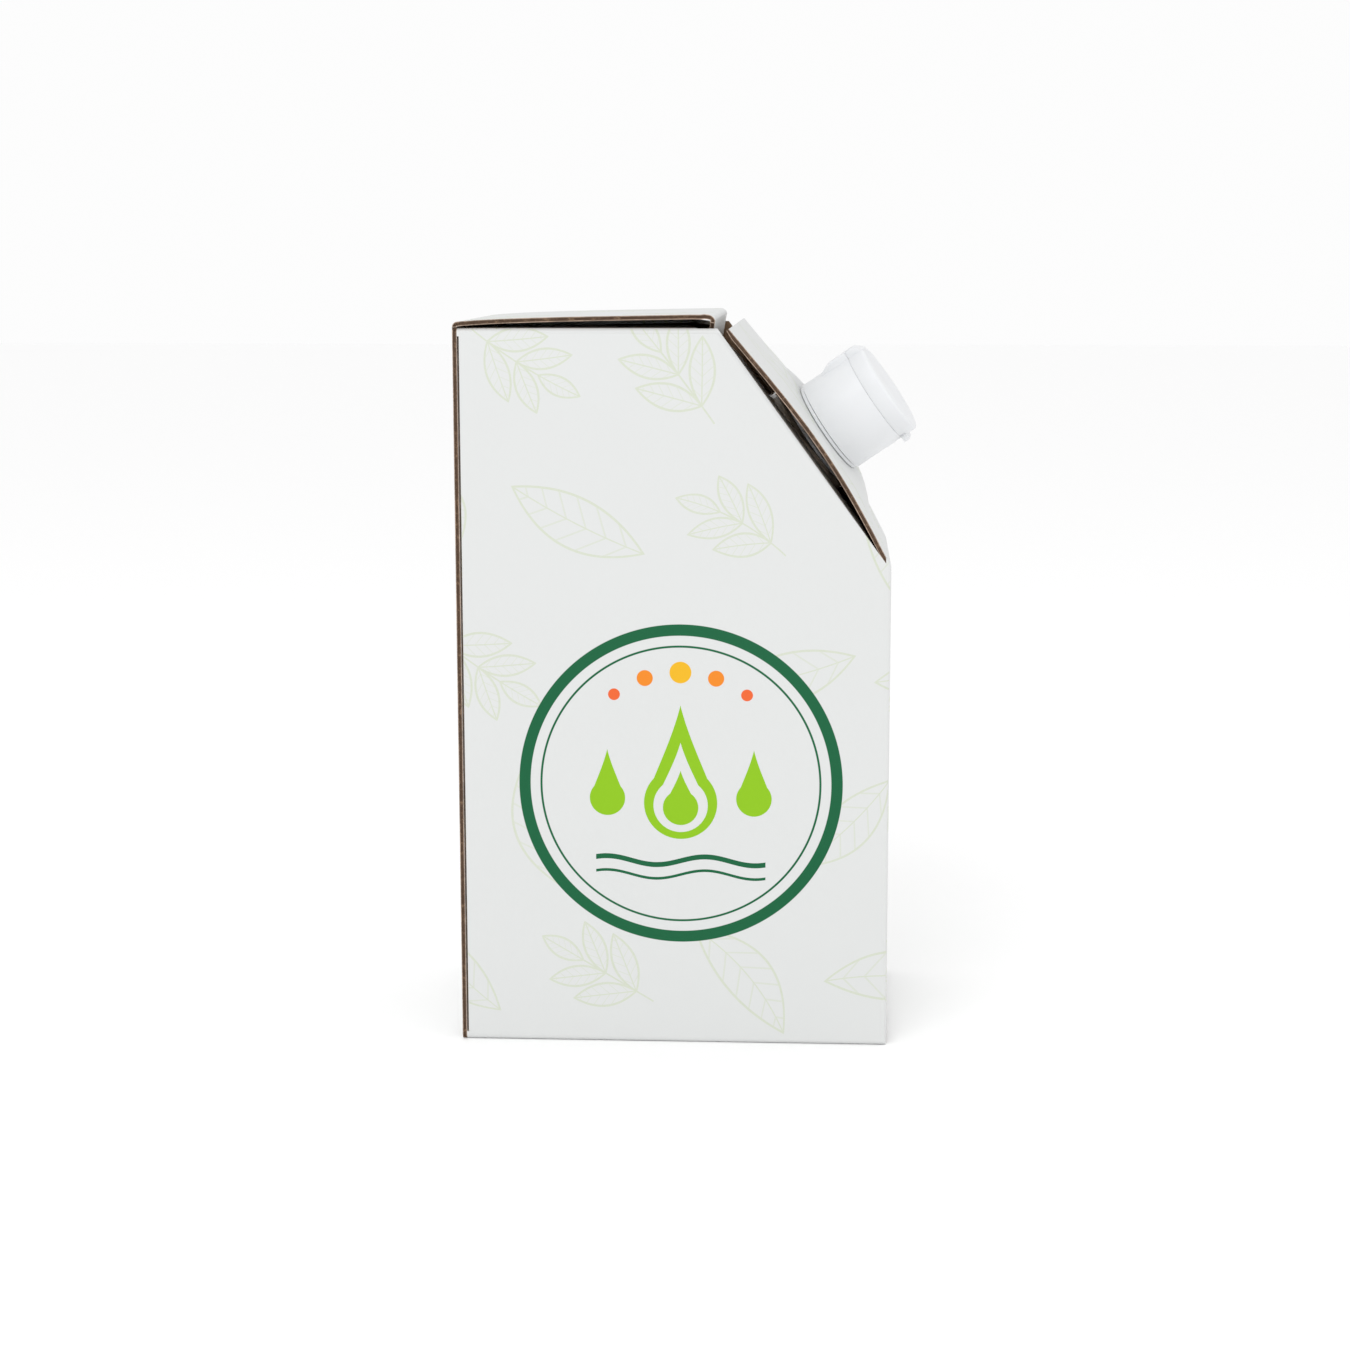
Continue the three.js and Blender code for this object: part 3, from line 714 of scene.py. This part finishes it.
def paper_the_faces(piece, side_of):
    select_faces(piece, lambda face: True)
    mesh = bmesh.from_edit_mesh(piece.data)
    for face in mesh.faces:
        face.material_index = side_of(face)
    bmesh.update_edit_mesh(piece.data)
    leave_edit_mode()


def recess_flutes(piece, settings):
    """Leaves a rim of paper round each cut and pushes the flutes between back from it."""
    if select_faces(piece, lambda face: face.material_index == LINER):
        bpy.ops.mesh.inset(thickness=settings.liner, depth=0, use_even_offset=False)
        mesh = bmesh.from_edit_mesh(piece.data)
        for face in mesh.faces:
            if face.select:
                face.material_index = CORE
        bmesh.update_edit_mesh(piece.data)
        bpy.ops.mesh.inset(thickness=0.02 * MM, depth=-settings.core_depth, use_even_offset=False)
    leave_edit_mode()


def unfold_print(piece):
    """Lays the printed panels out flat in metres, well apart, so that each has its own sprigs."""
    mesh = piece.data
    panel = mesh.uv_layers.new(name="panel")
    emblem = mesh.uv_layers.new(name="emblem")
    for face in mesh.polygons:
        normal = face.normal
        sloped = normal.dot(SLOPE_NORMAL) > 0.85
        for corner in face.loop_indices:
            point = mesh.vertices[mesh.loops[corner].vertex_index].co
            spot = OFF_EMBLEM
            if sloped:
                flat = (point.y + 0.81, (point - SLOPE_CORNER).dot(DOWN_SLOPE))
            elif abs(normal.y) > 0.7:
                flat = (point.x, point.z) if normal.y < 0 else (0.47 - point.x, point.z + 0.13)
                spot = (point.x - EMBLEM_PLACE.x, point.z - EMBLEM_PLACE.z)
            elif abs(normal.x) > 0.7:
                flat = (point.y + 1.17 if normal.x > 0 else 1.63 - point.y, point.z)
            else:
                flat = (point.x + 2.11, point.y)
            panel.data[corner].uv = flat
            emblem.data[corner].uv = spot


def cut_near(piece, corner):
    """Cuts every face along planes near a corner, so that the corner has points to be dented by."""
    forwards = Vector((1, 0, 0))
    inwards = Vector((0, -math.copysign(1, corner.y), 0))
    for step in DENT_CUTS_BEHIND:
        split_faces(piece, lambda face: True, corner - forwards * step * MM, forwards)
    for step in DENT_CUTS_IN:
        split_faces(piece, lambda face: True, corner + inwards * step * MM, inwards)


def dent_corner(piece, corner, reach, depth):
    """Crumples a worn corner of the board: both papers and what lies between move together."""
    for vert in piece.data.vertices:
        near = 1 - (vert.co - corner).length / reach
        if near > 0:
            dent = depth * near * near * (3 - 2 * near)
            spots = [vert.co * 260 + Vector((0, 0, 7.3 * axis)) for axis in range(3)]
            vert.co += Vector([noise.noise(spot) for spot in spots]) * dent
            vert.co.z -= 0.5 * dent


def board_piece(node, name, side_of, settings, materials):
    """One piece of the board: shaped, papered on each side, its flutes set back and its print laid on."""
    piece = copy_of(node, name)
    flatten_triangles(piece)
    crush_cut_edges(piece)
    if node == "top_lid":
        for corner, _, _ in LID_CORNERS:
            cut_near(piece, corner)
    if node == "carton_body":
        round_slanted_folds(piece)
        spring_far_flap(piece)

        def on_side(face):
            return abs(face.normal.y) > 0.99 and abs(face.calc_center_median().y) > HALF_WIDTH - 2 * HAIR

        split_faces(piece, on_side, SLOPE_CORNER + SLOPE_NORMAL * HAIR, SLOPE_NORMAL)

        def on_near_fold(face):
            return face.normal.y < -0.2 and face.calc_center_median().y < -HALF_WIDTH + 2 * BOARD

        split_faces(piece, on_near_fold, (-HALF_LENGTH + BOARD, 0, 0), (1, 0, 0))
    for material in materials:
        piece.data.materials.append(material)
    paper_the_faces(piece, side_of)
    recess_flutes(piece, settings)
    unfold_print(piece)
    if node == "top_lid":
        for corner, reach, depth in LID_CORNERS:
            dent_corner(piece, corner, reach, depth)
    smooth(piece, 24)
    return piece


class CARTON_OT_board(bpy.types.Operator):
    """The folded carton and its lid: printed liner outside, kraft inside, open flutes at each cut"""

    bl_idname = "carton.board"
    bl_label = "Board"

    def execute(self, context):
        settings = context.scene.carton_board
        inks = context.scene.carton_print
        materials = (
            printed_board(settings, inks),
            kraft_board(settings),
            cut_paper(settings),
            flute_core_painted_shade(settings),
        )
        box = board_piece("carton_body", "carton_board", carton_side, settings, materials)
        hand_over(box, "carton", "board", "carton_body")
        lid = board_piece("top_lid", "lid_board", lid_side, settings, materials)
        hand_over(lid, "lid", "board", "top_lid")
        return {"FINISHED"}


def bent_strip(name, width, profile, thickness, steps=24):
    """A thin strip along Y whose section follows a profile of [x, z] points."""
    deselect_all()
    rows = len(profile)
    bpy.ops.mesh.primitive_grid_add(x_subdivisions=steps, y_subdivisions=rows - 1, size=1)
    piece = bpy.context.object
    piece.name = piece.data.name = name
    for vert in piece.data.vertices:
        x, z = profile[round((vert.co.y + 0.5) * (rows - 1))]
        vert.co = (x, vert.co.x * width, z)
    solid = piece.modifiers.new("thickness", "SOLIDIFY")
    solid.thickness = thickness
    solid.offset = 0
    apply_modifiers(piece)
    select_faces(piece, lambda face: True)
    bpy.ops.mesh.normals_make_consistent(inside=False)
    leave_edit_mode()
    return piece


def crease_paper(settings):
    """The white liner over the lid's crease, with fine cracks along the fold."""
    shader = Shader("crease_paper")
    where = shader.object_coordinates()
    crack = shader.noise(shader.stretched(where, (3000, 260, 3000)), 1.0, 4.0, 0.7)
    broken = crack.ramp(0.6, 0.72)
    colour = shader.mix(broken * 0.5, settings.white, settings.cut)
    return shader.set(
        Base_Color=colour,
        Roughness=crack * 0.1 + 0.5,
        Normal=shader.bump(crack, 0.06 * MM, 0.7),
    )


class CARTON_OT_crease(bpy.types.Operator):
    """The strip of liner that the lid turns on, from the back panel over into the lid"""

    bl_idname = "carton.crease"
    bl_label = "Lid crease"

    def execute(self, context):
        back = -HALF_LENGTH - 0.06 * MM
        profile = [(back, HEIGHT + rise * MM) for rise in (-3.4, -1.2, -0.4, -0.1, 0.15, 0.4)]
        centre_x, centre_z = -HALF_LENGTH + 2.2 * MM, HEIGHT + 0.2 * MM
        radius = 2.26 * MM
        for step in range(1, 6):
            angle = math.radians(180 - 14 * step)
            profile.append((centre_x + radius * math.cos(angle), centre_z + radius * math.sin(angle)))
        strip = bent_strip("lid_crease", WIDTH - 0.3 * MM, profile, 0.12 * MM)
        strip.data.materials.append(crease_paper(context.scene.carton_board))
        smooth(strip, 40)
        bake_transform(strip)
        return {"FINISHED"}


def crease_film(piece, depth):
    """Draws the film in along the lines where it folds, so that the drink bulges between them."""
    moves = []
    for vert in piece.data.vertices:
        bulge = min(1, 3.2 * abs(noise.noise(vert.co * 24)))
        fine = min(1, 4.5 * abs(noise.noise(vert.co * 58)))
        moves.append(vert.normal * depth * (math.sqrt(bulge) * (0.72 + 0.28 * fine) - 1))
    for vert, move in zip(piece.data.vertices, moves):
        vert.co += move


class CARTON_OT_pouch(bpy.types.Operator):
    """The filled pouch: its film is drawn in between the places where the drink presses it out"""

    bl_idname = "carton.pouch"
    bl_label = "Pouch"

    def execute(self, context):
        settings = context.scene.carton_plastic
        piece = copy_of("inner_bag", "pouch")
        remesh = piece.modifiers.new("even_film", "REMESH")
        remesh.mode = "VOXEL"
        remesh.voxel_size = 2 * MM
        apply_modifiers(piece)
        crease_film(piece, settings.wrinkle)
        piece.data.materials.append(pouch_film())
        smooth(piece, 180)
        hand_over(piece, "carton", "film", "inner_bag")
        return {"FINISHED"}


def in_spout_frame(point):
    """How far a point is up the slope, across, and out along the spout's axis."""
    apart = point - SPOUT_CENTRE
    return apart.dot(SPOUT_UP), apart.dot(SPOUT_ACROSS), apart.dot(SPOUT_AXIS)


def close_parting_line(piece):
    """Lets the flip lid's rim down to a hair's breadth over the cap."""
    select_faces(piece, lambda face: False)
    mesh = bmesh.from_edit_mesh(piece.data)
    for vert in mesh.verts:
        up, across, height = in_spout_frame(vert.co)
        if abs(height - RIM_HEIGHT) < HAIR and math.hypot(up, across) > CAP_RADIUS - 2.5 * MM:
            vert.co -= SPOUT_AXIS * 0.2 * MM
    bmesh.update_edit_mesh(piece.data)
    leave_edit_mode()


def hinge_web(material):
    """The thin web of plastic that joins the cap to its flip lid."""
    face = CAP_RADIUS + HINGE_STAND_OFF + 0.04 * MM
    low, high = RIM_HEIGHT - 2.2 * MM, RIM_HEIGHT + 1.9 * MM
    profile = []
    for step in range(13):
        height = low + (high - low) * step / 12
        thin = math.exp(-(((height - RIM_HEIGHT + 0.15 * MM) / (0.5 * MM)) ** 2))
        profile.append((face - 0.12 * MM * thin, height))
    web = bent_strip("flip_hinge_web", 12.4 * MM, profile, 0.22 * MM, 12)
    for vert in web.data.vertices:
        up, across, height = vert.co
        vert.co = SPOUT_CENTRE + SPOUT_UP * up + SPOUT_ACROSS * across + SPOUT_AXIS * height
    web.data.materials.append(material)
    smooth(web, 40)
    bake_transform(web)


def moulded_copy(node, name, material, edge):
    """A moulded piece with its edges softened."""
    piece = copy_of(node, name)
    flatten_triangles(piece)
    bevel = piece.modifiers.new("soft_edges", "BEVEL")
    bevel.width = edge
    bevel.segments = 2
    bevel.limit_method = "ANGLE"
    bevel.angle_limit = math.radians(38)
    apply_modifiers(piece)
    piece.data.materials.append(material)
    smooth(piece, 34)
    return piece


class CARTON_OT_mouldings(bpy.types.Operator):
    """The spout, its soft seal, the screw cap and the flip lid, with soft moulded edges"""

    bl_idname = "carton.mouldings"
    bl_label = "Spout and cap"

    def execute(self, context):
        settings = context.scene.carton_plastic
        white = tuple(settings.white)
        cap_plastic = moulded_plastic("cap_plastic", white, 0.4, 0.02 * MM)
        spout_white = tuple(0.97 * part for part in white)
        spout_plastic = moulded_plastic("spout_plastic", spout_white, 0.34, 0.015 * MM)
        foam = moulded_plastic("seal_foam", (0.72, 0.72, 0.69), 0.8, 0.15 * MM)
        spout = moulded_copy("spout", "spout_moulding", spout_plastic, 0.15 * MM)
        hand_over(spout, "carton", "moulding", "spout")
        seal = moulded_copy("cap_seal", "seal_ring", foam, 0.2 * MM)
        hand_over(seal, "seal", "seal", "cap_seal")
        cap = moulded_copy("screw_cap", "cap_moulding", cap_plastic, settings.edge)
        hand_over(cap, "cap", "moulding", "screw_cap")
        lid = moulded_copy("flip_lid", "flip_lid_moulding", cap_plastic, settings.edge)
        close_parting_line(lid)
        hand_over(lid, "cap_lid", "moulding", "flip_lid")
        hinge_web(cap_plastic)
        return {"FINISHED"}


class CARTON_OT_stage(bpy.types.Operator):
    """The floor, the light from all sides, the soft lamps and the camera"""

    bl_idname = "carton.stage"
    bl_label = "Stage"

    def execute(self, context):
        settings = context.scene.carton_stage
        deselect_all()
        bpy.ops.mesh.primitive_plane_add(size=16, location=(0, 0, 0))
        floor = context.object
        floor.name = "floor"
        shader = Shader("studio_floor")
        floor.data.materials.append(
            shader.set(Base_Color=tuple(settings.floor), Roughness=0.9, Specular_IOR_Level=0.1)
        )

        world = bpy.data.worlds.new("studio")
        world.use_nodes = True
        background = world.node_tree.nodes["Background"]
        background.inputs["Color"].default_value = (1, 1, 1, 1)
        background.inputs["Strength"].default_value = settings.world_light
        context.scene.world = world
        context.scene.view_settings.view_transform = "Standard"

        aim = Vector((0, 0, 0.16))
        # Name, place, size and share of the power
        lamps = (
            ("key", (-0.45, -1.3, 1.5), 0.9, 0.95 * settings.key_light),
            ("side", (1.7, -0.7, 0.9), 1.0, 0.3 * settings.key_light),
            ("fill", (0.25, -2.3, 0.5), 0.9, 0.25 * settings.key_light),
        )
        for name, place, size, power in lamps:
            light = bpy.data.lights.new(name, "AREA")
            light.size = size
            light.energy = power
            lamp = bpy.data.objects.new(name, light)
            lamp.location = place
            lamp.rotation_euler = (aim - Vector(place)).to_track_quat("-Z", "Y").to_euler()
            context.scene.collection.objects.link(lamp)

        camera = bpy.data.cameras.new("camera")
        camera.lens = 66.24
        camera.shift_x = -0.0217
        camera.shift_y = -0.0294
        camera.clip_end = 50
        eye = bpy.data.objects.new("camera", camera)
        eye.location = Vector((66.6, -1082.6, 335.6)) * MM
        eye.rotation_euler = (math.radians(90 - 8.79), 0, math.radians(2.98))
        context.scene.collection.objects.link(eye)
        context.scene.camera = eye
        return {"FINISHED"}


class CARTON_PT_panel(bpy.types.Panel):
    """Lists the steps that dress the carton"""

    bl_idname = "CARTON_PT_panel"
    bl_label = "Carton"
    bl_space_type = "VIEW_3D"
    bl_region_type = "UI"
    bl_category = "Carton"

    def draw(self, context):
        for group in SETTINGS:
            values = getattr(context.scene, group)
            for key in values.__annotations__:
                self.layout.prop(values, key)
        for operator in OPERATORS:
            self.layout.operator(operator.bl_idname)


SETTINGS = {
    "carton_board": BoardSettings,
    "carton_print": PrintSettings,
    "carton_plastic": PlasticSettings,
    "carton_stage": StageSettings,
}
OPERATORS = (CARTON_OT_stage, CARTON_OT_board, CARTON_OT_crease, CARTON_OT_pouch, CARTON_OT_mouldings)


def register():
    for kind in (*SETTINGS.values(), *OPERATORS, CARTON_PT_panel):
        bpy.utils.register_class(kind)
    for group, kind in SETTINGS.items():
        setattr(bpy.types.Scene, group, PointerProperty(type=kind))


def unregister():
    for group in SETTINGS:
        delattr(bpy.types.Scene, group)
    for kind in reversed((*SETTINGS.values(), *OPERATORS, CARTON_PT_panel)):
        bpy.utils.unregister_class(kind)


def main():
    register()
    bpy.ops.carton.stage()
    bpy.ops.carton.board()
    bpy.ops.carton.crease()
    bpy.ops.carton.pouch()
    bpy.ops.carton.mouldings()
    deselect_all()


if __name__ == "__main__":
    main()
